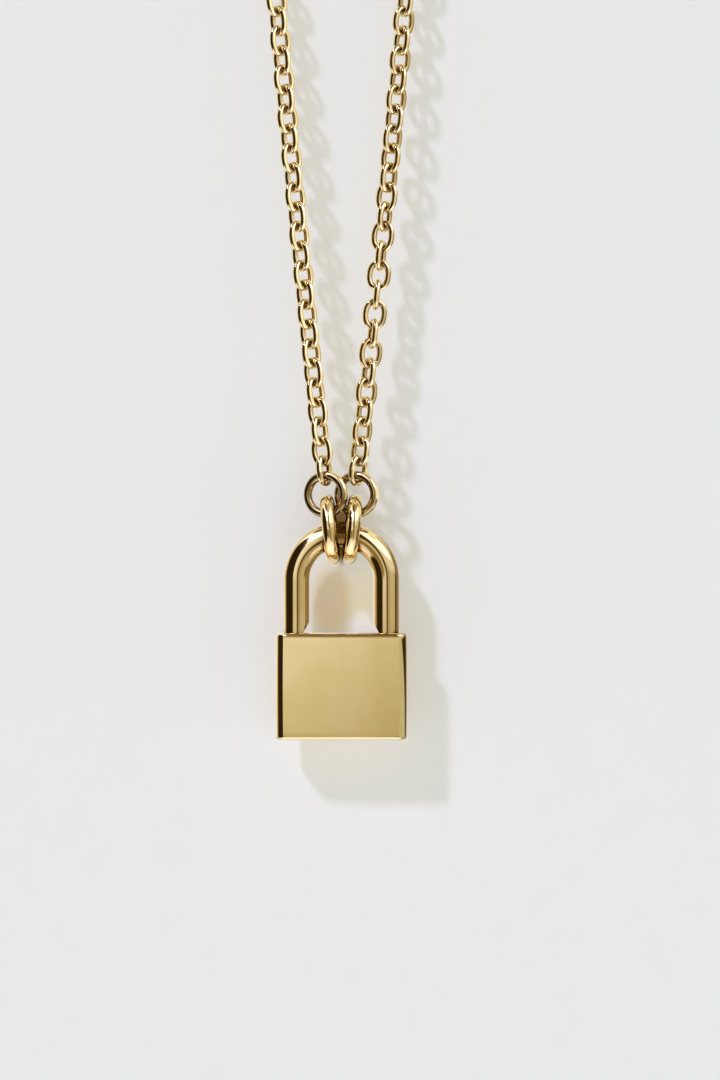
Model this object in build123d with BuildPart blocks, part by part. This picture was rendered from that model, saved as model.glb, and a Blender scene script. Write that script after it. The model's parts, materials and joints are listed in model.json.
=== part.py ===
from build123d import *

import os
from math import asin, atan, cos, degrees, exp, pi, radians, sin, sqrt

# A padlock pendant on a two-strand cable chain, in millimetres.
# +Z is up, the front of the padlock faces -Y and +X is to the right of someone who looks at it.
# The origin is where the necklace hangs: level with the underside of the clasp, at the top of the loop.

# Shackle of the padlock
bow_wire = 2.55
bow_inner_width = 6.3
leg_height = 5.3
foot_chamfer = 0.3
notch_height = 1.1
notch_depth = 0.6
notch_foot = 1.0

# Body of the padlock, which is as wide and as deep as the shackle's sockets and the walls round them
body_height = 10.5
socket_depth = 3.0
socket_clearance = 0.06
end_wall = 0.72
face_wall = 0.42
upright_edge_radius = 0.5
rim_edge_radius = 0.25

# Jump rings, with the room that each leaves beside the two wires that it holds
pendant_ring_wire = 1.38
pendant_ring_room = 0.84
chain_ring_wire = 0.78
chain_ring_room = 1.13

# Cable chain
link_wire = 0.53
link_inner_length = 2.06
link_inner_width = 1.32
links_per_strand = 110

# Lobster clasp
clasp_wire = 1.3
claw_radius = 1.75
neck_radius = 0.85
neck_to_claw = 4.2
eye_wire = 0.7

# Clear space between links that hang in one another, between a jump ring and what hangs in it, and between the feet
# of the two pendant rings
link_play = 0.12
ring_play = 0.16
ring_side_gap = 0.2

# How far a piece hangs outward of the one below it, away from the middle line, and how the jump rings are turned,
# in degrees. A turn of 0 lies flat to the front.
chain_ring_shift = 0.11
strand_foot_shift = 0.06
pendant_ring_tilt = 6.3
pendant_ring_turn = 1.8
chain_ring_turn = 22.0

# Each strand leans outward by this slope at its foot, and the slope fades over this height
foot_slope = 0.112
slope_fade_height = 222.0

# The links of a strand are turned by foot_turn at its foot and by upper_turn above turn_height. Between two shares of
# its length they turn on until they lie square to the clasp's ring.
sides = {
    "left": dict(sign=-1, foot_turn=-83.0, upper_turn=-37.0, turn_height=0.0, turn_span=8.0),
    "right": dict(sign=1, foot_turn=-58.0, upper_turn=62.0, turn_height=18.5, turn_span=8.0),
}
blend_start_share = 0.33
blend_end_share = 0.9
quarter_turn = 90.0

# Sizes that follow, with heights counted from the centre of the shackle's bow until the pieces are placed
bow_radius = (bow_inner_width + bow_wire) / 2
socket_radius = bow_wire / 2 + socket_clearance
body_width = 2 * (bow_radius + socket_radius + end_wall)
body_depth = 2 * (socket_radius + face_wall)
body_top = -leg_height
leg_foot = body_top - socket_depth + socket_clearance

pendant_ring_radius = (bow_wire + chain_ring_wire + pendant_ring_room + pendant_ring_wire) / 2
chain_ring_radius = (pendant_ring_wire + link_wire + chain_ring_room + chain_ring_wire) / 2
eye_radius = (chain_ring_wire + 2 * ring_play + (eye_wire + clasp_wire) / 2) / 2
link_end_radius = (link_inner_width + link_wire) / 2
link_half_straight = (link_inner_length - link_inner_width) / 2
link_reach = link_half_straight + link_end_radius

# Two pieces that hang in one another overlap by their wires and the play. Each is a rod between such joints.
ring_overlap = (chain_ring_wire + link_wire) / 2 + ring_play
link_half = (link_inner_length - link_play) / 2
end_link_half = link_reach - ring_overlap / 2
ring_half = chain_ring_radius - ring_overlap / 2
strand_length = links_per_strand * 2 * link_half

# The clasp's joints are where the wires of its two rings cross it, and its middle is half way between them
eye_joint = neck_radius + 2 * eye_radius - (chain_ring_wire + eye_wire) / 2 - ring_play
claw_joint = neck_to_claw + claw_radius - (chain_ring_wire + clasp_wire) / 2 - ring_play
clasp_half = (eye_joint + claw_joint) / 2
neck_x = (eye_joint - claw_joint) / 2
claw_x = neck_x + neck_to_claw
eye_x = neck_x - neck_radius - eye_radius

# The lowest wire of a pendant ring lies under the bow, and the lowest wire of a chain ring under its highest
ring_foot_x = (pendant_ring_wire + ring_side_gap) / 2
ring_foot_reach = (bow_inner_width - pendant_ring_wire) / 2 - link_play
ring_foot_z = sqrt(ring_foot_reach**2 - ring_foot_x**2)
tilt = radians(pendant_ring_tilt)
pendant_ring_x = ring_foot_x + pendant_ring_radius * sin(tilt)
pendant_ring_z = ring_foot_z + pendant_ring_radius * cos(tilt)
chain_ring_x = ring_foot_x + 2 * pendant_ring_radius * sin(tilt) + chain_ring_shift
chain_ring_rise = chain_ring_radius - (pendant_ring_wire + chain_ring_wire) / 2 - ring_play
chain_ring_z = ring_foot_z + 2 * pendant_ring_radius * cos(tilt) + chain_ring_rise


def lean_at(distance, bend_start, bend_radius):
    """Outward lean of a strand, in radians, at a distance along it."""
    lean = atan(foot_slope / (1 + min(distance, bend_start) / slope_fade_height))
    return lean - max(distance - bend_start, 0) / bend_radius


def route(bend_start):
    """Centres of a strand's links, its clasp ring and the clasp, as (x, z, lean, distance along the strand)."""
    links = [(link_half, link_half)] * (links_per_strand - 2)
    links = [(end_link_half, link_half), *links, (link_half, end_link_half)]
    rods = [*links, (ring_half, chain_ring_radius), (clasp_half, 0)]
    whole = sum(before + after for before, after in rods)
    start_lean = lean_at(bend_start, bend_start, whole)
    bend_radius = (whole - bend_start) / (pi / 2 + start_lean)
    x, z, distance = chain_ring_x + strand_foot_shift, chain_ring_z + ring_half, 0.0
    centres = []
    for before, after in rods:
        lean = lean_at(distance + before, bend_start, bend_radius)
        centres.append((x + before * sin(lean), z + before * cos(lean), lean, distance + before))
        x, z = x + (before + after) * sin(lean), z + (before + after) * cos(lean)
        distance += before + after
    return centres


def closed_route():
    """The route that brings the clasp's middle over the pendant: the height where it bends is found by halving."""
    low, high = 0.0, strand_length
    for _ in range(60):
        middle = (low + high) / 2
        low, high = (low, middle) if route(middle)[-1][0] > 0 else (middle, high)
    return route(low)


def strand_turn(side, distance):
    """Turn of a strand's links about the strand, in degrees, at a distance along it."""
    step = 1 / (1 + exp((side["turn_height"] - distance) / side["turn_span"]))
    turn = side["foot_turn"] + (side["upper_turn"] - side["foot_turn"]) * step
    clasp_turn = side["sign"] * quarter_turn * ((links_per_strand - 1) % 2)
    share = (distance / strand_length - blend_start_share) / (blend_end_share - blend_start_share)
    share = min(max(share, 0), 1)
    return turn + (clasp_turn - turn) * share**2 * (3 - 2 * share)


def turned_plane(side, x, z, lean, turn):
    """Plane of a flat piece: its x runs up the strand, and its z is the normal of the piece."""
    along = Vector(side["sign"] * sin(lean), 0, cos(lean))
    across = Vector(0, 1, 0).cross(along)
    normal = Vector(0, 1, 0) * cos(radians(turn)) + across * sin(radians(turn))
    return Plane(origin=(side["sign"] * x, 0, z - hang_height), x_dir=along, z_dir=normal)


*link_centres, clasp_ring_centre, clasp_centre = closed_route()
hang_height = clasp_centre[1] - claw_radius - clasp_wire / 2
bow_plane = Plane(origin=(0, 0, -hang_height), x_dir=(1, 0, 0), z_dir=(0, -1, 0))
clasp_plane = Plane(origin=(0, 0, claw_radius + clasp_wire / 2), x_dir=(1, 0, 0), z_dir=(0, -1, 0))

os.makedirs("parts", exist_ok=True)

# Padlock body, with a blind socket for each leg of the shackle
with BuildPart() as lock_body:
    with BuildSketch(Plane.XY.offset(body_top - hang_height)):
        Rectangle(body_width, body_depth)
    extrude(amount=-body_height)
    fillet(lock_body.edges().filter_by(Axis.Z), upright_edge_radius)
    bottom, *_, top = lock_body.faces().sort_by(Axis.Z)
    fillet(bottom.edges() + top.edges(), rim_edge_radius)
    with Locations(*[(x, 0, body_top - hang_height) for x in (-bow_radius, bow_radius)]):
        Hole(socket_radius, socket_depth)
lock_body.part.label = "lock_body"
export_step(lock_body.part, "parts/lock_body.step")

# Shackle: a bow with two straight legs, each with a latch notch on its inner side where it enters the body
with BuildPart() as shackle:
    with BuildLine(bow_plane):
        Line((-bow_radius, leg_foot), (-bow_radius, 0))
        CenterArc((0, 0), bow_radius, 2 * quarter_turn, -2 * quarter_turn)
        Line((bow_radius, 0), (bow_radius, leg_foot))
    with BuildSketch(Plane.XY.offset(leg_foot - hang_height)):
        with Locations((-bow_radius, 0)):
            Circle(bow_wire / 2)
    sweep()
    chamfer(shackle.edges().group_by(Axis.Z)[0], foot_chamfer)
    with BuildSketch(bow_plane):
        with BuildLine():
            notch_inner = bow_inner_width / 2 - notch_depth
            notch_outer = bow_inner_width / 2 + notch_depth
            Polyline(
                (notch_inner, body_top + 2 * notch_height),
                (notch_outer, body_top),
                (notch_outer, body_top - notch_foot),
                (notch_inner, body_top - notch_foot),
                close=True,
            )
        make_face()
        mirror(about=Plane.YZ)
    extrude(amount=bow_wire / 2, both=True, mode=Mode.SUBTRACT)
shackle.part.label = "shackle"
export_step(shackle.part, "parts/shackle.step")

# One link of the chain, an oval of round wire whose length runs along X
with BuildPart() as link:
    with BuildLine():
        upper_end = CenterArc((link_half_straight, 0), link_end_radius, -quarter_turn, 2 * quarter_turn)
        lower_end = CenterArc((-link_half_straight, 0), link_end_radius, quarter_turn, 2 * quarter_turn)
        Line(upper_end @ 1, lower_end @ 0)
        Line(lower_end @ 1, upper_end @ 0)
    with BuildSketch(Plane.XZ):
        with Locations((link_reach, 0)):
            Circle(link_wire / 2)
    sweep()

# The pieces of each side: the jump ring round the bow, the one at the foot of the strand, the strand and its clasp ring
for name, side in sides.items():
    with BuildPart() as pendant_ring:
        turn = radians(pendant_ring_turn)
        up = Vector(side["sign"] * sin(tilt), 0, cos(tilt))
        front = Vector(side["sign"] * sin(turn), -cos(turn), 0)
        centre = (side["sign"] * pendant_ring_x, 0, pendant_ring_z - hang_height)
        with Locations(Plane(origin=centre, x_dir=up, z_dir=up.cross(front))):
            Torus(pendant_ring_radius, pendant_ring_wire / 2)
    pendant_ring.part.label = f"pendant_ring_{name}"
    export_step(pendant_ring.part, f"parts/pendant_ring_{name}.step")

    with BuildPart() as chain_ring:
        with Locations(turned_plane(side, chain_ring_x, chain_ring_z, 0, chain_ring_turn)):
            Torus(chain_ring_radius, chain_ring_wire / 2)
    chain_ring.part.label = f"chain_ring_{name}"
    export_step(chain_ring.part, f"parts/chain_ring_{name}.step")

    with BuildPart() as chain:
        places = [
            turned_plane(side, x, z, lean, strand_turn(side, distance) + number % 2 * quarter_turn)
            for number, (x, z, lean, distance) in enumerate(link_centres)
        ]
        with Locations(*places):
            add(link.part)
    chain.part.label = f"chain_{name}"
    export_step(chain.part, f"parts/chain_{name}.step")

    with BuildPart() as clasp_ring:
        x, z, lean, _ = clasp_ring_centre
        with Locations(turned_plane(side, x, z, lean, quarter_turn)):
            Torus(chain_ring_radius, chain_ring_wire / 2)
    clasp_ring.part.label = f"clasp_ring_{name}"
    export_step(clasp_ring.part, f"parts/clasp_ring_{name}.step")

# Clasp: a teardrop of thick round wire that is drawn closed, with a small eye on its narrow end
with BuildPart() as clasp:
    tangent = quarter_turn + degrees(asin((claw_radius - neck_radius) / neck_to_claw))
    with BuildLine(clasp_plane):
        claw = CenterArc((claw_x, 0), claw_radius, -tangent, 2 * tangent)
        neck = CenterArc((neck_x, 0), neck_radius, tangent, 4 * quarter_turn - 2 * tangent)
        Line(claw @ 1, neck @ 0)
        Line(neck @ 1, claw @ 0)
    with BuildSketch(Plane(origin=clasp_plane.from_local_coords((claw_x + claw_radius, 0, 0)))):
        Circle(clasp_wire / 2)
    sweep()
    with Locations(Plane(origin=clasp_plane.from_local_coords((eye_x, 0, 0)), z_dir=clasp_plane.z_dir)):
        Torus(eye_radius, eye_wire / 2)
clasp.part.label = "clasp"
export_step(clasp.part, "parts/clasp.step")

loop_length = 2 * (clasp_centre[3] + chain_ring_z + ring_half - bow_radius)
print(f"body {body_width:.2f} x {body_depth:.2f} x {body_height:.2f}, rings "
      f"{2 * pendant_ring_radius + pendant_ring_wire:.2f} and {2 * chain_ring_radius + chain_ring_wire:.2f}")
print(f"height from the bow's centre to the origin {hang_height:.2f}, whole length round the loop {loop_length:.1f}")
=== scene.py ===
# %% [markdown]
# # A padlock pendant on a cable chain
#
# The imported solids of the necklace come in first, as a fixed frame. Polished gold shows every facet
# of a mesh as a broken reflection, so each piece is then made again with a finer mesh, measured from
# its own solid and left exactly where that solid lies. Lengths are in metres, +Z is up, and the front
# of the padlock faces -Y.

# %% Load the frame
import json
from math import cos, degrees, pi, radians, sin

import bmesh
import bpy
import numpy as np
from mathutils import Matrix, Vector

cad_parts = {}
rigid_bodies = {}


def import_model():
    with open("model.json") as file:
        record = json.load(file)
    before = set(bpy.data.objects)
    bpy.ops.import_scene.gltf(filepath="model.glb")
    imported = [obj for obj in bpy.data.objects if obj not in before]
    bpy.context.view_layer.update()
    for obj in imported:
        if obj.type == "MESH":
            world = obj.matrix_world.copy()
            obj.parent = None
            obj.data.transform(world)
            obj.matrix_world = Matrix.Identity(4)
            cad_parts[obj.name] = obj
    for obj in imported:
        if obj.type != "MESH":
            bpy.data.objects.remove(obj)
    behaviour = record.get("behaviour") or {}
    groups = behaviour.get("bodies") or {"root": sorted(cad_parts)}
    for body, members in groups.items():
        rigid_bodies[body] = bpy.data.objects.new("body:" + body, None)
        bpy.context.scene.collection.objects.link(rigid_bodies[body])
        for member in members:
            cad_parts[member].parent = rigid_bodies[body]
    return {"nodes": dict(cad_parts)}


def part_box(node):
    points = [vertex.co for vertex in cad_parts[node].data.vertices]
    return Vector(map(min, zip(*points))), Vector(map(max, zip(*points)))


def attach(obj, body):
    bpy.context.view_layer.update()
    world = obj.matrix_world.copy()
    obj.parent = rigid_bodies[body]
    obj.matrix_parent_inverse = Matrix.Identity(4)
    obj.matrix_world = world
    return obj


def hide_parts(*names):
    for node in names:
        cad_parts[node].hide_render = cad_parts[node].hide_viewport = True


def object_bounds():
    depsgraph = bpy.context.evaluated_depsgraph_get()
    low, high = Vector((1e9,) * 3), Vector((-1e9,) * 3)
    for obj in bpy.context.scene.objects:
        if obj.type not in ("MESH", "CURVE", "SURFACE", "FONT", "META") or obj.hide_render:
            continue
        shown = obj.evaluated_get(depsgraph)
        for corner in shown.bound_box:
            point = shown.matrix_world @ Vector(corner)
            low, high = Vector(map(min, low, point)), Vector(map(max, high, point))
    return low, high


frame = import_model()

solid_low, solid_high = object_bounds()
print("nodes:", ", ".join(sorted(frame["nodes"])))

# %% [markdown]
# ## The sizes that everything follows
#
# The shackle and the body of the padlock give the sizes that the rest refers to. They could be typed
# in again, but then the two files might drift apart. Reading them from the boxes of the solids keeps
# every later piece in place by itself.

# %% Measure the padlock's solids
MM = 0.001
bow_low, bow_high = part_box("shackle")
body_low, body_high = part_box("lock_body")
bow_wire = bow_high.y - bow_low.y
bow_radius = (bow_high.x - bow_low.x - bow_wire) / 2
bow_centre_z = bow_high.z - bow_radius - bow_wire / 2
print(f"bow: wire {bow_wire / MM:.2f} mm, radius {bow_radius / MM:.2f} mm")
print(f"the bow's centre is {-bow_centre_z / MM:.2f} mm below the origin")

# %% [markdown]
# ## The camera
#
# The photograph looks straight at the front of the pendant through a long lens, so nothing seems to
# taper away. An orthographic camera would do that too, but the other views need one that can step
# back, so a perspective camera stands far off. Its lens is worked out from the height that the
# photograph covers.

# %% Place the camera
PIXELS_PER_MM = 10.12
PHOTO_HEIGHT = 1080
FRAME_RIGHT_OF_BOW = 1.87 * MM
FRAME_ABOVE_BOW = 3.9 * MM
CAMERA_DISTANCE = 0.7
NEAREST_SEEN = 0.01

camera = bpy.data.objects.new("camera", bpy.data.cameras.new("camera"))
bpy.context.scene.collection.objects.link(camera)
bpy.context.scene.camera = camera
covered_height = PHOTO_HEIGHT / PIXELS_PER_MM * MM
camera.data.lens = camera.data.sensor_width * CAMERA_DISTANCE / covered_height
camera.data.clip_start = NEAREST_SEEN
camera.location = (FRAME_RIGHT_OF_BOW, -CAMERA_DISTANCE, bow_centre_z + FRAME_ABOVE_BOW)
camera.rotation_euler = (radians(90), 0, 0)
print(f"lens {camera.data.lens:.0f} mm for a frame {covered_height / MM:.1f} mm high")

# %% [markdown]
# ## Shader maths as plain expressions
#
# A material in Blender is a graph of nodes. Wiring each Math node by hand hides what is being worked
# out, so one small class wraps an output of the graph. Adding or multiplying two of them makes the
# Math node behind the scenes, and any other node comes from its one method, `node`.

# %% A socket that can be calculated with
class Socket:
    """An output in a node tree. Without an output it is only the tree, where the first nodes are made."""

    def __init__(self, tree, output=None):
        self.tree = tree
        self.output = output

    def node(self, kind, settings, sockets, output=0):
        """Makes a node: its settings come first, then a value or a link for each named socket."""
        made = self.tree.nodes.new(kind)
        for name, value in settings.items():
            setattr(made, name, value)
        for name, value in sockets.items():
            if isinstance(value, Socket):
                self.tree.links.new(value.output, made.inputs[name])
            else:
                made.inputs[name].default_value = value
        return Socket(self.tree, made.outputs[output] if made.outputs else None)

    def math(self, operation, first, second):
        return self.node("ShaderNodeMath", {"operation": operation}, {0: first, 1: second})

    def __add__(self, other):
        return self.math("ADD", self, other)

    def __sub__(self, other):
        return self.math("SUBTRACT", self, other)

    def __rsub__(self, other):
        return self.math("SUBTRACT", other, self)

    def __mul__(self, other):
        return self.math("MULTIPLY", self, other)

    def __neg__(self):
        return self.math("MULTIPLY", self, -1)

    __radd__ = __add__
    __rmul__ = __mul__

    def step(self, start, end):
        """A smooth rise from 0 at start to 1 at end."""
        settings = {"interpolation_type": "SMOOTHSTEP"}
        return self.node("ShaderNodeMapRange", settings, {"Value": self, "From Min": start, "From Max": end})

    def band(self, start, end, soft):
        """1 between start and end, falling to 0 over the width soft outside them."""
        return self.step(start - soft, start) * (1 - self.step(end, end + soft))

    def blend(self, first, second):
        """Mixes two colours, with this socket as the share of the second one."""
        sockets = {"Factor": self, 6: first, 7: second}
        return self.node("ShaderNodeMix", {"data_type": "RGBA"}, sockets, 2)


print("shader expressions are ready")

# %% [markdown]
# ## Where shade is painted into the gold
#
# Three parts of this necklace look brown and dark: the bow between its two thick rings, the slim rings
# apart from one bright side, and the left flank of every link. Mostly they mirror something dark close
# by, and small black cards could stand in for that. Here that dark reflection is painted into the
# gold's own colour as shade, which needs no card and stays put from every side. Soft oval spots mark
# the bow and the slim rings by place, and the links are marked by the direction that a surface faces.

# %% Masks for painted shade
SPOT_EDGE = (0.7, 2.0)
FLANK = (-17, -2)
FLANK_SOFT = 3


def soft_spot(place, centre, size, edge=SPOT_EDGE):
    """1 inside an upright oval round a point counted from the bow's centre, fading out over its edge."""
    middle = (centre[0], 0, bow_centre_z + centre[1])
    scale = (1 / size[0], 0, 1 / size[1])
    offset = place.node("ShaderNodeVectorMath", {"operation": "SUBTRACT"}, {0: place, 1: middle})
    scaled = place.node("ShaderNodeVectorMath", {"operation": "MULTIPLY"}, {0: offset, 1: scale})
    return 1 - place.node("ShaderNodeVectorMath", {"operation": "LENGTH"}, {0: scaled}, 1).step(*edge)


def left_flank(place, facing):
    """1 where a surface turns a little to the left, as a wire's left flank does, to paint a dark reflection.
    """
    across, depth = [
        facing.node("ShaderNodeSeparateXYZ", {}, {"Vector": facing}, axis) for axis in "XY"]
    turn = facing.math("ARCTAN2", across, -depth) * degrees(1)
    return turn.band(*FLANK, FLANK_SOFT)


print(f"the flank of a link is dull from {FLANK[0]} to {FLANK[1]} degrees")

# %% [markdown]
# ## Polished gold plate
#
# Gold plate is a mirror with a strong yellow tint, so nearly all of its look comes from what it
# reflects. What makes it real up close is small: the plating is a little deeper in tone in some
# places, wiping it leaves hairlines, crevices keep a brown film, and the polish is not equally crisp
# everywhere. The brown in the crevices is partly painted shade as well. Noise in object space gives
# the tones and the hairlines, and ambient occlusion finds the crevices. An image texture could hold
# them as well, but it would have to be unwrapped.

# %% One recipe for all the gold
CLOUD_EDGES = (0.35, 0.65)
HAIRLINE_EDGES = (0.5, 0.8)
HAIRLINE_STRETCH = (0.12, 0.4, 1.0)
HAIRLINE_WIDTH = 0.06 * MM
HAIRLINE_DEPTH = 0.0004 * MM
HAIRLINE_STRENGTH = 0.25
CREVICE_EDGES = (0.2, 0.92)
CREVICE_SHARE = 0.85
# A brown patina in the crevices, which also stands in for painted shade there
PATINA_AND_SHADE = (0.16, 0.085, 0.025, 1)
DEEP_ROUGHNESS = 0.03
HAIRLINE_ROUGHNESS = 0.05


def polished_gold(name, pale, deep, roughness, patch_size, crevice_reach, painted_dark=None, painted_dark_tone=None):
    """Gold whose tone wanders from pale to deep over patches of a size, with hairlines and dark crevices.

    The crevices turn towards a brown patina that is partly painted shade. Painted_dark is a function of
    place and facing that gives 1 where shade or a dark reflection is painted into the gold, in
    painted_dark_tone.
    """
    material = bpy.data.materials.new(name)
    material.use_nodes = True
    tree = material.node_tree
    tree.nodes.clear()
    sheet = Socket(tree)
    place = sheet.node("ShaderNodeTexCoord", {}, {}, "Object")
    facing = sheet.node("ShaderNodeTexCoord", {}, {}, "Normal")

    cloud = {"Vector": place, "Scale": 1 / patch_size, "Detail": 3.0, "Roughness": 0.55}
    tone = sheet.node("ShaderNodeTexNoise", {}, cloud).step(*CLOUD_EDGES)
    stretched = sheet.node(
        "ShaderNodeVectorMath", {"operation": "MULTIPLY"}, {0: place, 1: HAIRLINE_STRETCH})
    grain = {"Vector": stretched, "Scale": 1 / HAIRLINE_WIDTH, "Detail": 2.0, "Roughness": 0.7}
    hairlines = sheet.node("ShaderNodeTexNoise", {}, grain).step(*HAIRLINE_EDGES)

    # Crevices are darkened towards the patina, partly as painted shade
    openness = sheet.node("ShaderNodeAmbientOcclusion", {"samples": 8}, {"Distance": crevice_reach}, 1)
    crevice = 1 - openness.step(*CREVICE_EDGES)
    plate = (CREVICE_SHARE * crevice).blend(tone.blend(pale, deep), PATINA_AND_SHADE)
    # Where painted_dark gives 1, painted shade or a painted dark reflection replaces the plate's colour
    if painted_dark:
        plate = painted_dark(place, facing).blend(plate, painted_dark_tone)
    bump = sheet.node("ShaderNodeBump", {}, {
        "Strength": HAIRLINE_STRENGTH, "Distance": HAIRLINE_DEPTH, "Height": hairlines})
    surface = sheet.node("ShaderNodeBsdfPrincipled", {}, {
        "Base Color": plate,
        "Metallic": 1.0,
        "Roughness": roughness + DEEP_ROUGHNESS * tone + HAIRLINE_ROUGHNESS * hairlines,
        "Normal": bump,
    })
    sheet.node("ShaderNodeOutputMaterial", {}, {"Surface": surface})
    return material


print("the gold recipe is ready")

# %% [markdown]
# ## The golds of this necklace
#
# The body, the thick wire and the chain come out of the same plating bath, but they are polished to a
# different crispness, and what the camera sees of them differs a little in tone. One gold for all
# would be simpler and would look too even. Each has its own pair of tones here, and the bow is the
# thick wire's gold with a spot of painted shade between its two thick rings.

# %% The golds
WIRE_GOLD = {
    "pale": (0.89, 0.69, 0.34, 1), "deep": (0.84, 0.63, 0.28, 1),
    "roughness": 0.05, "patch_size": 3 * MM, "crevice_reach": 1.6 * MM}
# Painted shade between the rings: its centre counted from the middle of the bow, and its half size
BOW_SHADE_SPOT = ((0.0, 4.6 * MM), (0.8 * MM, 2.0 * MM))
# Painted shade on the bow between the rings, and a painted dark reflection on the links' left flanks
BOW_PAINTED_SHADE = (0.19, 0.105, 0.025, 1)
FLANK_PAINTED_DARK = (0.105, 0.058, 0.014, 1)


def between_rings(place, facing):
    """1 on the bow between its two thick rings, where shade is painted."""
    return soft_spot(place, *BOW_SHADE_SPOT)


body_gold = polished_gold(
    "body_gold", pale=(0.93, 0.74, 0.37, 1), deep=(0.91, 0.70, 0.31, 1),
    roughness=0.07, patch_size=5 * MM, crevice_reach=0.9 * MM)
wire_gold = polished_gold("wire_gold", **WIRE_GOLD)
bow_gold = polished_gold("bow_gold", **WIRE_GOLD, painted_dark=between_rings, painted_dark_tone=BOW_PAINTED_SHADE)
# The chain's gold has a dark reflection painted on the left flank of every link
chain_gold = polished_gold(
    "chain_gold", pale=(0.94, 0.775, 0.425, 1), deep=(0.90, 0.69, 0.335, 1),
    roughness=0.06, patch_size=2 * MM, crevice_reach=0.9 * MM, painted_dark=left_flank, painted_dark_tone=FLANK_PAINTED_DARK)
print("materials:", ", ".join(gold.name for gold in (body_gold, wire_gold, bow_gold, chain_gold)))

# %% [markdown]
# ## Turning a mesh into a piece
#
# Every piece ends in the same way: its faces are turned outward, edges that fold sharply are marked
# so that only the rounded parts shade smoothly, and the piece takes the place of its solid. It rides
# on the same body as the solid, so it swings when that body swings.

# %% Finish a piece
SHARP_ANGLE = radians(23)


def finish_piece(mesh, name, material, node, body):
    """Makes an object of the edited mesh, which stands for a node of the frame and rides on a body."""
    bmesh.ops.recalc_face_normals(mesh, faces=mesh.faces)
    for face in mesh.faces:
        face.smooth = True
    for edge in mesh.edges:
        edge.smooth = edge.calc_face_angle(0) < SHARP_ANGLE
    data = bpy.data.meshes.new(name)
    mesh.to_mesh(data)
    mesh.free()
    data.materials.append(material)
    piece = bpy.data.objects.new(name, data)
    bpy.context.scene.collection.objects.link(piece)
    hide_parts(node)
    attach(piece, body)
    print(f"{name}: {len(data.polygons)} faces")
    return piece


# %% [markdown]
# ## Round wire along a path
#
# The shackle, the jump rings, the links and the clasp are all bent from round wire. A curve with a
# bevel would make them too, but here each ring of points is placed one by one along the path, because
# the shackle needs flats cut into its wire. Each ring lies in the plane of two directions: outward
# from the bend, and across it.

# %% Wire helpers
def add_wire(mesh, centres, outward, across, radii, sides, closed, cuts=None):
    """Adds a round wire to a mesh. A cut takes that much off the inner side of the wire at a centre."""
    angles = np.linspace(0, 2 * pi, sides, endpoint=False)
    rings = []
    for number, (centre, out) in enumerate(zip(centres, outward)):
        radius = radii[number]
        inner_limit = radius - (cuts[number] if cuts else 0)
        reach = np.maximum(radius * np.cos(angles), -inner_limit)
        points = centre + np.outer(reach, out) + np.outer(radius * np.sin(angles), across)
        rings.append([mesh.verts.new(point) for point in points])
    pairs = list(zip(rings, rings[1:]))
    if closed:
        pairs.append((rings[-1], rings[0]))
    for one, other in pairs:
        for i in range(sides):
            mesh.faces.new((one[i - 1], one[i], other[i], other[i - 1]))
    if not closed:
        mesh.faces.new(rings[0])
        mesh.faces.new(rings[-1])


def add_oval(mesh, centre, axes, half_length, half_width, wire, steps, sides, fullness=2.0):
    """Adds a closed oval of round wire, whose long, wide and flat directions are the rows of axes.

    The half sizes are those of the middle of the wire. A fullness of 2 is an ellipse or a circle, and
    more is boxier.
    """
    turns = np.linspace(0, 2 * pi, steps, endpoint=False)
    along, wide = np.cos(turns), np.sin(turns)
    power = 2 / fullness
    places = np.column_stack([
        half_length * np.sign(along) * np.abs(along) ** power,
        half_width * np.sign(wide) * np.abs(wide) ** power])
    following = np.roll(places, -1, axis=0) - np.roll(places, 1, axis=0)
    facing = np.column_stack([following[:, 1], -following[:, 0]])
    facing /= np.linalg.norm(facing, axis=1)[:, None]
    centres = centre + places @ axes[:2]
    add_wire(mesh, centres, facing @ axes[:2], axes[2], [wire / 2] * steps, sides, True)


print("wire helpers are ready")

# %% [markdown]
# ## The body of the padlock
#
# The body is a flat slab. Each of its narrow sides is rounded from front to back and meets the faces in
# a soft crease, and its top and bottom rims are rounded a little. The front and back are not dead flat:
# polishing crowns them by a hair, and that is what lets the light drift across the face. A box with
# bevels would stay flat, so the walls are drawn as stacked outlines that are pulled in by the crown.

# %% The outline of the body
EDGE_WIDTH = 0.74 * MM
CREASE_ANGLE = radians(24)
FACE_CROWN = 0.10 * MM
SIDE_CROWN = 0.04 * MM
CORNER_STEPS = 14
FACE_STEPS = 36
SIDE_STEPS = 8

body_half = (body_high - body_low) / 2
body_middle_z = (body_high.z + body_low.z) / 2


def body_outline(inset, z):
    """Points round the body at a height, pulled in from its walls by an inset and by the crown."""
    # Each arc starts upright at the side and meets the face in the crease, an edge width further in
    radius = EDGE_WIDTH / (1 - sin(CREASE_ANGLE))
    depth = radius * cos(CREASE_ANGLE)
    turns = np.linspace(0, np.arcsin((depth - inset) / (radius - inset)), CORNER_STEPS + 1)
    across = body_half.x - radius + (radius - inset) * np.cos(turns)
    along = body_half.y - depth + (radius - inset) * np.sin(turns)
    front_right = np.column_stack([across, -along])[::-1]
    arcs = [front_right, (front_right * (1, -1))[::-1], -front_right, (front_right * (-1, 1))[::-1]]
    points = []
    for arc, following, steps in zip(arcs, arcs[1:] + arcs[:1], (SIDE_STEPS, FACE_STEPS) * 2):
        points += [*arc, *np.linspace(arc[-1], following[0], steps + 1)[1:-1]]
    shares = np.array(points) / (body_half.x, body_half.y)
    level = (z - body_middle_z) / body_half.z
    fall_x = SIDE_CROWN * level**2
    fall_y = FACE_CROWN * (shares[:, 0] ** 2 + level**2)
    return [(x - share_x * fall_x, y - share_y * fall, z)
            for (x, y), (share_x, share_y), fall in zip(points, shares, fall_y)]


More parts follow.
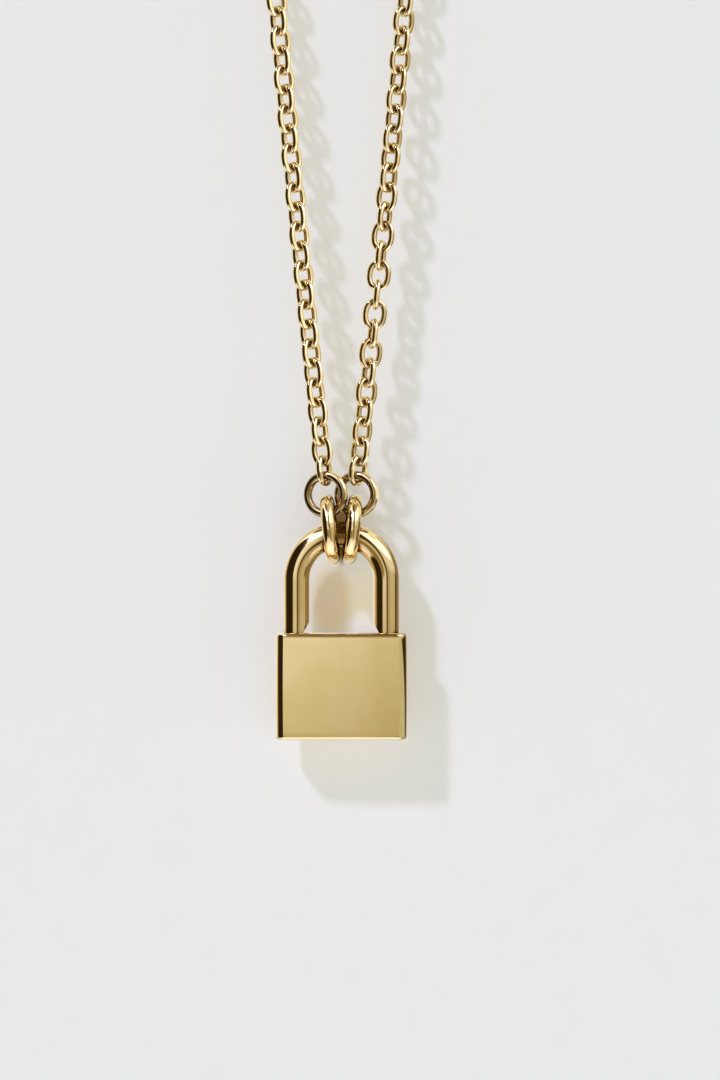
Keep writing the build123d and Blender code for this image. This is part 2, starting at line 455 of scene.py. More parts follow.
print(f"body: {2 * body_half.x / MM:.2f} x {2 * body_half.y / MM:.2f} x {2 * body_half.z / MM:.2f} mm")

# %% [markdown]
# ## Walls, rims and sockets
#
# Outlines that lie above each other are joined into walls, and the rims are more of them, pulled in
# along a quarter of a circle. The two sockets in the top, where the legs of the shackle stand, could
# be cut with a boolean, which leaves ragged faces that show in a mirror finish. Instead their round
# walls are made first, and the top is filled between their mouths and the outline.

# %% Make the body
RIM_RADIUS = 0.32 * MM
SOCKET_CLEARANCE = 0.06 * MM
SOCKET_LIP = 0.05 * MM
RIM_STEPS = 8
WALL_ROWS = 22
SOCKET_SIDES = 64


def circle_at(x, z, radius):
    """Points of a socket's round wall at a height."""
    turns = np.linspace(0, 2 * pi, SOCKET_SIDES, endpoint=False)
    return [(x + radius * cos(turn), radius * sin(turn), z) for turn in turns]


def join_rows(mesh, rows):
    """Faces between rows of points that lie above each other. Gives the rows of vertices."""
    made = [[mesh.verts.new(point) for point in row] for row in rows]
    for below, above in zip(made, made[1:]):
        for i in range(len(below)):
            mesh.faces.new((below[i - 1], below[i], above[i], above[i - 1]))
    return made


def loop_edges(mesh, row):
    """The edges that close a row of vertices into a loop."""
    return [mesh.edges.get((a, b)) for a, b in zip(row, row[1:] + row[:1])]


def make_body():
    """The slab with its rims and its two sockets, in one mesh."""
    mesh = bmesh.new()
    rim = [(RIM_RADIUS * (1 - sin(turn)), RIM_RADIUS * (1 - cos(turn)))
           for turn in np.linspace(0, pi / 2, RIM_STEPS + 1)]
    rows = [body_outline(inset, body_low.z + rise) for inset, rise in rim]
    wall = np.linspace(body_low.z + RIM_RADIUS, body_high.z - RIM_RADIUS, WALL_ROWS + 1)
    rows += [body_outline(0, z) for z in wall[1:-1]]
    rows += [body_outline(inset, body_high.z - rise) for inset, rise in reversed(rim)]
    outline = join_rows(mesh, rows)
    mesh.faces.new(outline[0])
    mouths = []
    for x in (-bow_radius, bow_radius):
        radius = bow_wire / 2 + SOCKET_CLEARANCE
        mouth, _, floor = join_rows(mesh, [
            circle_at(x, body_high.z, radius + SOCKET_LIP),
            circle_at(x, body_high.z - SOCKET_LIP, radius),
            circle_at(x, bow_low.z - SOCKET_CLEARANCE, radius),
        ])
        mesh.faces.new(floor)
        mouths += loop_edges(mesh, mouth)
    bmesh.ops.triangle_fill(mesh, use_beauty=True, edges=loop_edges(mesh, outline[-1]) + mouths)
    piece = finish_piece(mesh, "padlock_body", body_gold, "lock_body", "pendant")
    even = piece.modifiers.new("even_normals", "WEIGHTED_NORMAL")
    even.keep_sharp = True


make_body()

# %% [markdown]
# ## The shackle
#
# The shackle is one thick wire bent into a bow. On the inner side of each leg, just where it enters
# the body, a slanted flat is cut for the latch. Sculpting or a boolean could cut it. Here the rings of
# points along the wire are simply held back on their inner side, deeper and deeper towards the body.

# %% Make the shackle
NOTCH_DEPTH = 0.6 * MM
NOTCH_HEIGHT = 1.1 * MM
NOTCH_FOOT = 1.0 * MM
FOOT_CHAMFER = 0.3 * MM
STEP_HEIGHT = 0.01 * MM
BOW_STEPS = 96
BOW_SIDES = 64
NOTCH_STEPS = 8
LEG_STEPS = 6


def leg_rows():
    """Rows of a leg from its foot upward, each with its height, radius and cut."""
    radius = bow_wire / 2
    step_z = body_high.z - NOTCH_FOOT
    rows = [(bow_low.z, radius - FOOT_CHAMFER, 0), (bow_low.z + FOOT_CHAMFER, radius, 0)]
    rows += [(step_z, radius, 0), (step_z + STEP_HEIGHT, radius, NOTCH_DEPTH)]
    for share in np.linspace(0, 1, NOTCH_STEPS + 1):
        rows.append((body_high.z + share * NOTCH_HEIGHT, radius, (1 - share) * NOTCH_DEPTH))
    top_of_notch = body_high.z + NOTCH_HEIGHT
    rows += [(z, radius, 0) for z in np.linspace(top_of_notch, bow_centre_z, LEG_STEPS + 1)[1:-1]]
    return rows


def make_shackle():
    """Two notched legs and the bend between them, as one wire."""
    mesh = bmesh.new()
    left = [((-bow_radius, 0, z), (-1, 0, 0), radius, cut) for z, radius, cut in leg_rows()]
    right = [((bow_radius, 0, z), (1, 0, 0), radius, cut) for z, radius, cut in reversed(leg_rows())]
    bend = []
    for turn in np.linspace(pi, 0, BOW_STEPS + 1):
        out = np.array([cos(turn), 0, sin(turn)])
        bend.append((bow_radius * out + np.array([0, 0, bow_centre_z]), out, bow_wire / 2, 0))
    centres, outward, radii, cuts = zip(*left, *bend, *right)
    across = np.array([0, 1, 0])
    add_wire(mesh, np.array(centres), np.array(outward), across, radii, BOW_SIDES, False, cuts)
    finish_piece(mesh, "padlock_shackle", bow_gold, "shackle", "pendant")


make_shackle()

# %% [markdown]
# ## Reading how a ring or link lies
#
# The jump rings and more than two hundred links hang at many angles. Their places could be worked out
# again from the shape of the whole loop, but each solid already tells how it lies. The directions in
# which the points of a flat oval spread most, less and least are its length, its width and its normal,
# and a singular value decomposition finds exactly those.

# %% Take a node apart and measure its solids
WELD = 0.001 * MM


def loose_solids(node):
    """The points of each separate solid in a node of the frame."""
    mesh = bmesh.new()
    mesh.from_mesh(frame["nodes"][node].data)
    bmesh.ops.remove_doubles(mesh, verts=mesh.verts, dist=WELD)
    waiting = set(mesh.verts)
    solids = []
    while waiting:
        reached = [waiting.pop()]
        for vertex in reached:
            for edge in vertex.link_edges:
                neighbour = edge.other_vert(vertex)
                if neighbour in waiting:
                    waiting.remove(neighbour)
                    reached.append(neighbour)
        solids.append(np.array([vertex.co for vertex in reached]))
    mesh.free()
    return solids


def lie_of(points):
    """Centre, axes as rows (long, wide, flat) and half sizes along them of a flat piece of wire."""
    middle = points.mean(0)
    axes = np.linalg.svd(points - middle, full_matrices=False)[2]
    spread = (points - middle) @ axes.T
    low, high = spread.min(0), spread.max(0)
    return middle + (low + high) / 2 @ axes, axes, (high - low) / 2


_, _, ring_half = lie_of(loose_solids("pendant_ring_left")[0])
print(f"a thick ring is {2 * ring_half[0] / MM:.2f} mm across, of {2 * ring_half[2] / MM:.2f} mm wire")

# %% [markdown]
# ## The jump rings
#
# Two thick rings hold the padlock by its bow, and a slim ring joins each of them to its strand. Two
# more slim rings hold the clasp. They are plain closed rings, so a torus would do. The same helper
# that makes the links makes them too, as an oval whose length and width are the same. The slim rings
# by the padlock have a brown painted shade, standing for a dark reflection, everywhere but along the
# outer right, which shines in plain gold. They are drawn a touch stouter than their solids, so that
# they rest in the thick ones.

# %% Make the jump rings
SIDES = ("left", "right")
RING_STEPS = 144
RING_SIDES = 40
SLIM_SWELL = 0.06 * MM
# An oval of brown painted shade, shifted left and down of a slim ring's middle, leaves its outer right plain
SHINE_SHIFT = (0.55 * MM, 0.15 * MM)
SLIM_SHADE_SIZE = (MM, MM)
SLIM_SHADE_EDGE = (2.20, 2.65)
SLIM_PAINTED_SHADE = (0.42, 0.31, 0.145, 1)


def slim_gold(side):
    """Rougher gold of the slim ring on a side, with brown painted shade on all but its outer right."""
    centre, _, _ = lie_of(loose_solids(f"chain_ring_{side}")[0])
    shade_place = (centre[0] - SHINE_SHIFT[0], centre[2] - bow_centre_z - SHINE_SHIFT[1])

    def painted_shade_side(place, facing):
        return soft_spot(place, shade_place, SLIM_SHADE_SIZE, SLIM_SHADE_EDGE)

    return polished_gold(
        f"slim_gold_{side}", pale=(0.93, 0.74, 0.38, 1), deep=(0.88, 0.68, 0.33, 1),
        roughness=0.16, patch_size=2 * MM, crevice_reach=1.2 * MM, painted_dark=painted_shade_side, painted_dark_tone=SLIM_PAINTED_SHADE)


def make_ring(name, node, material, swell=0):
    """A closed ring of round wire in the place of a node, its wire stouter by a swell."""
    centre, axes, half = lie_of(loose_solids(node)[0])
    mesh = bmesh.new()
    radius = half[1] - half[2]
    add_oval(mesh, centre, axes, radius, radius, 2 * half[2] + swell, RING_STEPS, RING_SIDES)
    return finish_piece(mesh, name, material, node, "necklace")


rings = [make_ring(f"thick_ring_{side}", f"pendant_ring_{side}", wire_gold) for side in SIDES]
for side in SIDES:
    rings.append(make_ring(f"slim_ring_{side}", f"chain_ring_{side}", slim_gold(side), SLIM_SWELL))
    rings.append(make_ring(f"clasp_slim_ring_{side}", f"clasp_ring_{side}", chain_gold))

# %% [markdown]
# ## The two strands of cable chain
#
# A cable chain is one oval link repeated, each turned across the last. An array along a curve could
# place them, but every link here already has its own place and twist in the frame. The links are
# drawn a touch stouter than their solids, because the solids keep clear of each other and real links
# rest on one another.

# %% Make the strands
LINK_SWELL = 0.07 * MM
LINK_FULLNESS = 2.35
LINK_DRAW_IN = 0.02 * MM
LINK_STEPS = 48
LINK_SIDES = 16


def make_strand(side):
    """All links of a strand as one mesh, each in the place of its own solid."""
    lies = [lie_of(points) for points in loose_solids(f"chain_{side}")]
    half = np.median([sizes for _, _, sizes in lies], axis=0)
    mesh = bmesh.new()
    for centre, axes, _ in lies:
        add_oval(mesh, centre, axes, half[0] - half[2] - LINK_DRAW_IN, half[1] - half[2],
                 2 * half[2] + LINK_SWELL, LINK_STEPS, LINK_SIDES, LINK_FULLNESS)
    print(f"strand {side}: {len(lies)} links, {2 * half[0] / MM:.2f} x {2 * half[1] / MM:.2f} mm")
    return finish_piece(mesh, f"strand_{side}", chain_gold, f"chain_{side}", "necklace")


strands = [make_strand(side) for side in SIDES]

# %% [markdown]
# ## The clasp
#
# The clasp sits at the back of the neck, out of the photograph. It is drawn closed, as one teardrop of
# thick wire with a small eye for its ring. The teardrop is two arcs of different size joined by
# straight flanks that touch both, so the only thing to work out is the angle where they touch.

# %% Make the clasp
CLASP_WIRE = 1.3 * MM
EYE_WIRE = 0.7 * MM
NECK_RADIUS = 0.85 * MM
NECK_DISTANCE = 4.2 * MM
EYE_OUTER = 1.44 * MM
CLASP_STEPS = 40
CLASP_SIDES = 40

clasp_low, clasp_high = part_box("clasp")
claw_radius = (clasp_high.z - clasp_low.z - CLASP_WIRE) / 2
claw_x = clasp_high.x - claw_radius - CLASP_WIRE / 2


def make_clasp():
    """The teardrop and its eye in one mesh."""
    mesh = bmesh.new()
    centre_z = (clasp_low.z + clasp_high.z) / 2
    neck_x = claw_x - NECK_DISTANCE
    tangent = pi / 2 + np.arcsin((claw_radius - NECK_RADIUS) / (claw_x - neck_x))
    claw = np.linspace(-tangent, tangent, CLASP_STEPS)
    neck = np.linspace(tangent, 2 * pi - tangent, CLASP_STEPS)
    turns = np.concatenate([claw, neck])
    outward = np.column_stack([np.cos(turns), np.zeros(len(turns)), np.sin(turns)])
    middles = np.repeat([[claw_x, 0, centre_z], [neck_x, 0, centre_z]], CLASP_STEPS, axis=0)
    radii = np.repeat([claw_radius, NECK_RADIUS], CLASP_STEPS)
    across = np.array([0, 1, 0])
    wires = [CLASP_WIRE / 2] * len(turns)
    add_wire(mesh, middles + radii[:, None] * outward, outward, across, wires, CLASP_SIDES, True)
    eye_radius = EYE_OUTER - EYE_WIRE / 2
    eye_centre = np.array([clasp_low.x + EYE_OUTER, 0, centre_z])
    axes = np.array([[1, 0, 0], [0, 0, 1], [0, 1, 0]])
    add_oval(mesh, eye_centre, axes, eye_radius, eye_radius, EYE_WIRE, CLASP_STEPS, CLASP_SIDES)
    finish_piece(mesh, "clasp_body", wire_gold, "clasp", "necklace")


make_clasp()

# %% [markdown]
# ## Pale paper
#
# The necklace rests against a plain pale sheet. The gold throws soft brown and bright casts on it, most
# of all behind the bow. Tracing such light off tiny mirrors is slow and noisy, so they are painted into
# the paper as soft spots. From behind, the sheet must not hide the necklace, so its back is
# see-through, and so is the front to any ray that came in through the back.

# %% Paper that is see-through from behind
PAPER = 0.785
FIBRE_SHADE = 0.99
FIBRE_SIZE = 3 * MM
FIBRE_EDGES = (0.3, 0.7)
PAPER_GLOW = (0.262, 0.262, 0.215)
CAST_EDGE = (0.7, 1.8)
THROUGH_EDGES = (0.0, 0.9)

# Each cast: its tint, its centre counted from the middle of the bow, and its half size, in mm
CASTS = [
    ((0.91, 0.78, 0.60, 1), (-1.0, -2.0), (1.5, 2.7)),
    ((0.44, 0.25, 0.09, 1), (0.0, 4.9), (0.7, 2.2)),
    ((0.42, 0.30, 0.16, 1), (0.10, 2.8), (0.30, 0.9)),
    ((1.10, 1.05, 0.92, 1), (2.1, -1.5), (1.4, 1.8)),
    ((1.05, 1.06, 1.12, 1), (2.4, -4.3), (1.2, 0.9)),
]


def paper_material():
    """Matt pale paper that is solid from the front and see-through from the back."""
    material = bpy.data.materials.new("pale_paper")
    material.use_nodes = True
    material.node_tree.nodes.clear()
    sheet = Socket(material.node_tree)
    place = sheet.node("ShaderNodeTexCoord", {}, {}, "Object")
    fibre = sheet.node("ShaderNodeTexNoise", {}, {"Vector": place, "Scale": 1 / FIBRE_SIZE, "Detail": 2.0})
    light, dark = [(tone, tone, tone, 1) for tone in (PAPER, FIBRE_SHADE * PAPER)]
    shade = fibre.step(*FIBRE_EDGES).blend(light, dark)
    glow = PAPER_GLOW
    for tint, centre, size in CASTS:
        centre, size = [[value * MM for value in pair] for pair in (centre, size)]
        cast = soft_spot(place, centre, size, CAST_EDGE).blend((1, 1, 1, 1), tint)
        shade = sheet.node("ShaderNodeVectorMath", {"operation": "MULTIPLY"}, {0: shade, 1: cast})
        glow = sheet.node("ShaderNodeVectorMath", {"operation": "MULTIPLY"}, {0: glow, 1: cast})
    matt = sheet.node("ShaderNodeBsdfPrincipled", {}, {
        "Base Color": shade, "Roughness": 1.0, "Specular IOR Level": 0.0,
        "Emission Color": glow, "Emission Strength": 1.0})
    clear = sheet.node("ShaderNodeBsdfTransparent", {}, {})
    from_behind = sheet.node("ShaderNodeNewGeometry", {}, {}, "Backfacing")
    came_through = sheet.node("ShaderNodeLightPath", {}, {}, "Transparent Depth")
    seen_through = (from_behind + came_through).step(*THROUGH_EDGES)
    surface = sheet.node("ShaderNodeMixShader", {}, {0: seen_through, 1: matt, 2: clear})
    sheet.node("ShaderNodeOutputMaterial", {}, {"Surface": surface})
    return material


paper = paper_material()
print(f"{paper.name} with {len(CASTS)} casts")

# %% [markdown]
# ## The backdrop and the floor
#
# The sheet hangs close enough behind the necklace for the rings to touch it. Below the picture it
# curves forward into a floor. Higher up it leans forward a little, because in the photograph the
# shadow of the strands comes nearer to them towards the top. Turning the whole sheet would move the
# padlock's shadow too, so it is drawn as a profile through points. The floor keeps out of the
# mirror-bright gold, which would show its horizon.

# %% Hang the sheet
BACKDROP_GAP = 0.05 * MM
SHEET_HALF_WIDTH = 3.0
SHEET_TOP = 2.0
FLOOR_REACH = 4.0
FLOOR_DROP = 0.07
SWEEP_RADIUS = 0.03
SWEEP_STEPS = 16
SHEET_LEAN = 1.9 * MM
LEAN_START = -0.200
LEAN_HEIGHT = 0.065


def make_sheet(name, profile, material):
    """A wide sheet of paper through points (y, z), counted from its upper end."""
    mesh = bmesh.new()
    rows = [[mesh.verts.new((x, y, z)) for x in (-SHEET_HALF_WIDTH, SHEET_HALF_WIDTH)] for y, z in profile]
    for upper, lower in zip(rows, rows[1:]):
        mesh.faces.new((upper[0], lower[0], lower[1], upper[1])).smooth = True
    data = bpy.data.meshes.new(name)
    mesh.to_mesh(data)
    mesh.free()
    data.materials.append(material)
    piece = bpy.data.objects.new(name, data)
    bpy.context.scene.collection.objects.link(piece)
    piece.visible_glossy = False


sheet_y = solid_high.y + BACKDROP_GAP
floor_z = body_low.z - FLOOR_DROP
sweep = [(sheet_y - SWEEP_RADIUS * (1 - cos(turn)), floor_z + SWEEP_RADIUS * (1 - sin(turn)))
         for turn in np.linspace(0, pi / 2, SWEEP_STEPS + 1)]
# The lean sets in and ends softly, so the sheet has no crease
lean = [(sheet_y - SHEET_LEAN * share * share * (3 - 2 * share), LEAN_START + share * LEAN_HEIGHT)
        for share in np.linspace(1, 0, SWEEP_STEPS + 1)]
make_sheet("backdrop", [(lean[0][0], SHEET_TOP), *lean, sweep[0]], paper)
make_sheet("floor", [*sweep, (sheet_y - FLOOR_REACH, floor_z)], paper)
print(f"sheet at {sheet_y / MM:.2f} mm, floor at {floor_z / MM:.0f} mm")

# %% [markdown]
# ## Cards that only the gold can see
#
# Photographers put stripes into polished metal with small cards close to it, black ones called flags
# and bright ones called bounces. They could be painted into the gold instead, but then they would not
# move with the view. Each card here is a strip between pairs of points. It glows on its front, is
# see-through from the back, and keeps out of the picture, off the paper and out of the shadows.

# %% What a card is
def card_material(name, tones):
    """A card that glows evenly on its front, in two close tones, and is see-through from the back."""
    material = bpy.data.materials.new(name)
    material.use_nodes = True
    material.node_tree.nodes.clear()
    sheet = Socket(material.node_tree)
    place = sheet.node("ShaderNodeTexCoord", {}, {}, "Object")
    weave = sheet.node("ShaderNodeTexNoise", {}, {"Vector": place, "Scale": 1 / FIBRE_SIZE})
    front = sheet.node("ShaderNodeEmission", {}, {"Color": weave.blend(*tones)})
    clear = sheet.node("ShaderNodeBsdfTransparent", {}, {})
    behind = sheet.node("ShaderNodeNewGeometry", {}, {}, "Backfacing")
    surface = sheet.node("ShaderNodeMixShader", {}, {0: behind, 1: front, 2: clear})
    sheet.node("ShaderNodeOutputMaterial", {}, {"Surface": surface})
    return material


def make_card(name, pairs, material):
    """A strip of card between pairs of points, which only the gold can see."""
    data = bpy.data.meshes.new(name)
    faces = [(2 * i, 2 * i + 1, 2 * i + 3, 2 * i + 2) for i in range(len(pairs) - 1)]
    data.from_pydata([point for pair in pairs for point in pair], [], faces)
    data.materials.append(material)
    card = bpy.data.objects.new(name, data)
    bpy.context.scene.collection.objects.link(card)
    card.visible_camera = card.visible_diffuse = card.visible_shadow = False
    print(f"card {name}: {len(faces)} faces")


print("cards can be made")

# %% [markdown]
# ## Where the cards stand
#
# In the photograph the right edge of the body mirrors a dark stripe that narrows downward, with tan
# beside it. A flag and a tan card share the plane there, with a slanting line between them. The gap
# between the two thick rings is dark, so a small flag lies behind it on the sheet. A wide bounce lies
# on the sheet behind the chain, and another stands to the right of the slim rings.

# %% Place the cards
FLAG_DISTANCE = 7.5 * MM
FLAG_FRONT = -8.0 * MM
FLAG_BACK = 7.0 * MM
# Where the flag beside the body starts: share of the body's height, and its place in mm
FLAG_EDGE = [(1.0, -4.2), (0.9, -2.8), (0.66, -0.4), (0.37, 1.7), (0.0, 2.9), (-0.4, 4.0)]
FELT = ((0.060, 0.034, 0.008, 1), (0.036, 0.020, 0.004, 1))
TAN = ((0.60, 0.60, 0.52, 1), (0.54, 0.54, 0.47, 1))
BOUNCE_TOP = -0.05
BOUNCE_SIDE = 9 * MM
BOUNCE_TOP_SIDE = 18 * MM
BOUNCE_FOOT = 5.6 * MM
BOUNCE = ((0.86, 0.84, 0.74, 1), (0.80, 0.78, 0.68, 1))
GAP_FLAG_SIDE = 1.2 * MM
GAP_FLAG_FOOT = 4.3 * MM
GAP_FLAG_HEIGHT = 8.0 * MM
GAP_FLAG_RAISE = 0.1 * MM
SIDE_BOUNCE_DISTANCE = 2.5 * MM
SIDE_BOUNCE_REACH = 3.5 * MM
SIDE_BOUNCE_FOOT = 1.2 * MM
SIDE_BOUNCE = ((1.10, 1.10, 1.05, 1), (1.00, 1.00, 0.95, 1))


def level_pair(half_width, y, z):
    """A pair of points to the left and right of the middle."""
    return (-half_width, y, z), (half_width, y, z)


felt = card_material("black_felt", FELT)
beside_body = body_high.x + FLAG_DISTANCE
edge = [(start * MM, body_low.z + share * (body_high.z - body_low.z)) for share, start in FLAG_EDGE]
make_card("body_flag", [((beside_body, y, z), (beside_body, FLAG_BACK, z)) for y, z in edge], felt)
make_card("body_bounce", [((beside_body, FLAG_FRONT, z), (beside_body, y, z)) for y, z in edge],
          card_material("tan_card", TAN))

bounce_foot = level_pair(BOUNCE_SIDE, sheet_y, bow_centre_z + BOUNCE_FOOT)
bounce_head = level_pair(BOUNCE_TOP_SIDE, sheet_y, BOUNCE_TOP)
make_card("bounce", [bounce_foot, bounce_head], card_material("white_bounce", BOUNCE))

gap_low = bow_high.z - GAP_FLAG_FOOT
gap_heights = (gap_low, gap_low + GAP_FLAG_HEIGHT)
make_card("gap_flag", [level_pair(GAP_FLAG_SIDE, sheet_y - GAP_FLAG_RAISE, z) for z in gap_heights], felt)

rings_low, rings_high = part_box("chain_ring_right")
beside_rings = rings_high.x + SIDE_BOUNCE_DISTANCE
side_heights = (rings_low.z + SIDE_BOUNCE_FOOT, rings_high.z)
make_card("side_bounce", [
    ((beside_rings, sheet_y, z), (beside_rings, -SIDE_BOUNCE_REACH, z)) for z in side_heights],
    card_material("side_bounce", SIDE_BOUNCE))

# %% [markdown]
# ## The lamp
#
# One small lamp high on the left gives the crisp shadow that falls down to the right. A sun lamp
# stands in for it, because its direction and the softness of its shadow are each a single setting.
# With an area light, moving the lamp would change the softness as well.

# %% The lamp
LAMP_SIDE, LAMP_RISE = -0.956, 1.32
LAMP_STRENGTH = 1.0
LAMP_COLOUR = (1.0, 1.0, 1.36)
LAMP_SPREAD = radians(5)

lamp = bpy.data.objects.new("lamp", bpy.data.lights.new("lamp", "SUN"))
bpy.context.scene.collection.objects.link(lamp)
lamp.data.energy = LAMP_STRENGTH
lamp.data.angle = LAMP_SPREAD
lamp.data.color = LAMP_COLOUR
lamp.rotation_euler = Vector((LAMP_SIDE, -1, LAMP_RISE)).to_track_quat("Z", "Y").to_euler()
print(f"lamp {degrees(lamp.rotation_euler.x):.0f} degrees down from the zenith")

# %% [markdown]
# ## Strips of light
#
# Each strand shows a bright line down the right of its links, as from a tall narrow soft box beside
# it. Two area lights stand for such boxes, along the stretch of the strands that the picture shows.
# They could be panels of the world too, but that is far away, and then the body and the bow would
# mirror them as well. Light linking lets them light the chain and the rings alone, so the paper
# keeps its even tone.

# %% A strip of light beside each strand
STRIP_OFFSET = 1.35 * MM
STRIP_NEAR = 0.8 * MM
STRIP_DEPTH = 27 * MM
STRIP_TOP = -0.15
STRIP_BRIGHTNESS = 0.30
STRIP_COLOUR = (1.0, 1.0, 1.2)


def strip_light(name, foot, head, receivers):
    """A soft box on the right of a straight line, which lights nothing but its receivers."""
    along, depth = (head - foot).normalized(), Vector((0, 1, 0))
    strip = bpy.data.objects.new(name, bpy.data.lights.new(name, "AREA"))
    bpy.context.scene.collection.objects.link(strip)
    strip.data.shape = "RECTANGLE"
    strip.data.size, strip.data.size_y = STRIP_DEPTH, (head - foot).length
    # An area light looks as bright as its energy divided by four times its area
    strip.data.energy = STRIP_BRIGHTNESS * 4 * strip.data.size * strip.data.size_y
    strip.data.color = STRIP_COLOUR
    strip.visible_camera = False
    strip.light_linking.receiver_collection = receivers
    turned = Matrix((depth, along, depth.cross(along))).transposed().to_4x4()
    middle = (foot + head) / 2 + Vector((STRIP_OFFSET, -STRIP_NEAR - STRIP_DEPTH / 2, 0))
    strip.matrix_world = Matrix.Translation(middle) @ turned
    print(f"{name}: {strip.data.size_y / MM:.0f} mm long")


chain_only = bpy.data.collections.new("lit_by_strips")
for piece in (*strands, *rings):
    chain_only.objects.link(piece)
for side in SIDES:
    middles = [points.mean(0) for points in loose_solids(f"chain_{side}")]
    upward = sorted(middles, key=lambda middle: middle[2])
    seen = [Vector(middle) for middle in upward if middle[2] < STRIP_TOP]
    strip_light(f"strip_{side}", seen[0], seen[-1], chain_only)

# %% [markdown]
# ## The room that the gold mirrors
#
# What the gold mirrors is a room of its own: a soft mid tone, dark to the left and overhead, a window
# beside the camera, soft boxes up on either side and brightness from below. In polished wire each of
# these becomes a stripe. Lamps and cards could build that room, but a world shader holds it in a
# table of panels and is free of noise. The panels are laid over one another like sheets of paper.

# %% Panels of the room
ROOM_TONE = 0.56

# Each panel: brightness, then from, to and softness of its azimuth, then the same of its height, in degrees
PANELS = [
    (1.00, -200, -122, 6, -10, 95, 8),
    (0.62, 106, 200, 6, -95, 95, 1),
    (0.24, 106, 200, 6, -95, 20, 10),
    (0.50, -200, -118, 8, -95, -26, 8),
    (0.09, 90, 112, 4, -20, 14, 8),
    (1.10, -112, 96, 6, -95, -38, 12),
    (1.50, -112, 96, 6, -95, -52, 8),
    (0.15, 74, 102, 6, -30, -8, 6),
    (0.38, 14, 26, 18, -34, 8, 6),
    (0.85, 24, 100, 6, 13, 56, 10),
    (1.90, 26, 88, 8, 27, 52, 9),
    (1.90, -104, -30, 8, 40, 56, 6),
    (2.80, -62, -12, 5, 22, 56, 7),
    (1.00, -31, -6, 4, 1, 24, 5),
]
LATER_PANELS = [
    (0.018, -60, -31, 4, -20, 7, 8),
    (0.22, -32, -8, 5, -24, -4, 5),
    (0.15, -95, 112, 10, 62, 95, 6),
    (0.15, -4, 18, 4, 8, 95, 6),
    (0.05, 6, 15, 3, -24, 95, 6),
    (0.85, 152, 200, 8, -78, -24, 8),
    (0.85, -200, -152, 8, -78, -24, 8),
]


def paint(level, panels, azimuth, height):
    """Lays the panels over the brightness one after another."""
    for tone, left, right, side_soft, low, high, end_soft in panels:
        share = azimuth.band(left, right, side_soft) * height.band(low, high, end_soft)
        level = level + (tone - level) * share
    return level


def round_patch(direction, azimuth, height, size, soft):
    """1 inside a round patch of the sky round a direction given in degrees, falling to 0 past its size."""
    flat = cos(radians(height))
    centre = (sin(radians(azimuth)) * flat, -cos(radians(azimuth)) * flat, sin(radians(height)))
    dot = {"operation": "DOT_PRODUCT"}
    toward = direction.node("ShaderNodeVectorMath", dot, {0: direction, 1: centre}, 1)
    return toward.step(cos(radians(size + soft)), cos(radians(size)))


print(f"room: {len(PANELS) + len(LATER_PANELS)} panels")

# %% [markdown]
# ## The dark corner, the front patch and the world
#
# Two things in the room are no upright panels. The dark corner on the left is round. The flat face of
# the body mirrors only a small patch behind the camera, so that patch has a slow change of tone of
# its own. Dim parts of the room are browner and the lamps are bluer, so one more step turns each
# brightness into a tint. The paper gets a plain even fill instead of the room, and the camera sees
# plain grey past the sheet, which keeps the picture free of the room's stripes.

# %% The world
DARK_CORNER = (-72, 7)
DARK_CORNER_SIZE = 41
DARK_CORNER_SOFT = 4
DARK_CORNER_LEFT = (-110, -99)
DARK_CORNER_TONE = 0.018
FRONT_SIDES = (-4, 4, 3)
FRONT_HEIGHTS = (-6, 6, 3)
FRONT_TONE = 0.70
FRONT_FALL_PER_DEGREE = 0.024
FRONT_RISE_PER_DEGREE = 0.022
DIM_LEVELS = (0.0, 0.7)
LAMP_LEVELS = (0.55, 1.25)
DIM_TINT = (1.50, 1.0, 0.50, 1)
ROOM_TINT = (1.0, 1.0, 0.88, 1)
LAMP_TINT = (1.0, 1.0, 1.35, 1)
FILL_LIGHT = 0.28
SEEN_GREY = (0.80, 0.80, 0.80, 1)


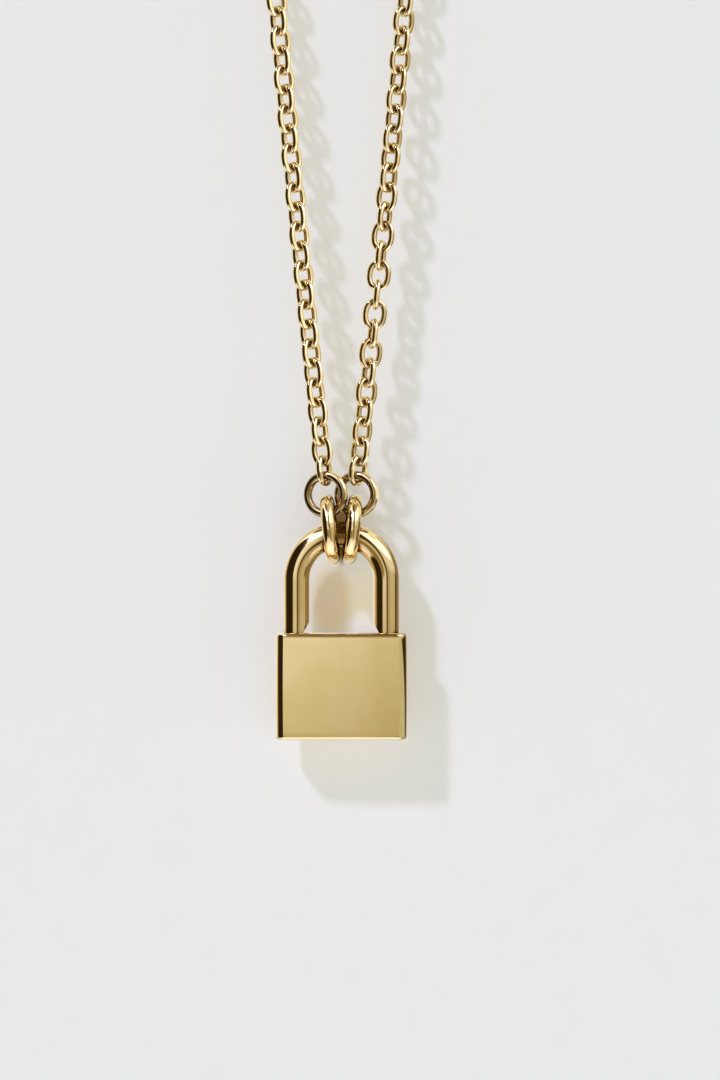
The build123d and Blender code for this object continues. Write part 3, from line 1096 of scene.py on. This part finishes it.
def room_level(direction, azimuth, height):
    """How bright the room is in a direction."""
    level = paint(ROOM_TONE, PANELS, azimuth, height)
    corner = round_patch(direction, *DARK_CORNER, DARK_CORNER_SIZE, DARK_CORNER_SOFT)
    level = level + (DARK_CORNER_TONE - level) * (corner * azimuth.step(*DARK_CORNER_LEFT))
    level = paint(level, LATER_PANELS, azimuth, height)
    front = azimuth.band(*FRONT_SIDES) * height.band(*FRONT_HEIGHTS)
    front_level = FRONT_TONE - FRONT_FALL_PER_DEGREE * azimuth + FRONT_RISE_PER_DEGREE * height
    return level + (front_level - level) * front


def make_room():
    """The world: the room for what the gold mirrors, an even fill for the rest, grey for the camera."""
    world = bpy.data.worlds.new("room")
    bpy.context.scene.world = world
    world.cycles.sampling_method = "NONE"
    world.use_nodes = True
    world.node_tree.nodes.clear()
    sheet = Socket(world.node_tree)
    direction = sheet.node("ShaderNodeTexCoord", {}, {}, "Generated")
    right, back, rise = [
        sheet.node("ShaderNodeSeparateXYZ", {}, {"Vector": direction}, axis) for axis in "XYZ"]
    azimuth = sheet.math("ARCTAN2", right, -back) * degrees(1)
    height = sheet.math("ARCSINE", rise, 0) * degrees(1)

    level = room_level(direction, azimuth, height)
    bright = level.step(*LAMP_LEVELS).blend(ROOM_TINT, LAMP_TINT)
    tint = level.step(*DIM_LEVELS).blend(DIM_TINT, bright)
    room = sheet.node("ShaderNodeBackground", {}, {"Color": tint, "Strength": level})
    fill = sheet.node("ShaderNodeBackground", {}, {"Color": (1, 1, 1, 1), "Strength": FILL_LIGHT})
    plain = sheet.node("ShaderNodeBackground", {}, {"Color": SEEN_GREY, "Strength": 1.0})
    mirrored = sheet.node("ShaderNodeLightPath", {}, {}, "Is Glossy Ray")
    lit = sheet.node("ShaderNodeMixShader", {}, {0: mirrored, 1: fill, 2: room})
    seen = sheet.node("ShaderNodeLightPath", {}, {}, "Is Camera Ray")
    whole = sheet.node("ShaderNodeMixShader", {}, {0: seen, 1: lit, 2: plain})
    sheet.node("ShaderNodeOutputWorld", {}, {"Surface": whole})


make_room()
bpy.context.scene.view_settings.view_transform = "Standard"
print("world:", bpy.context.scene.world.name)
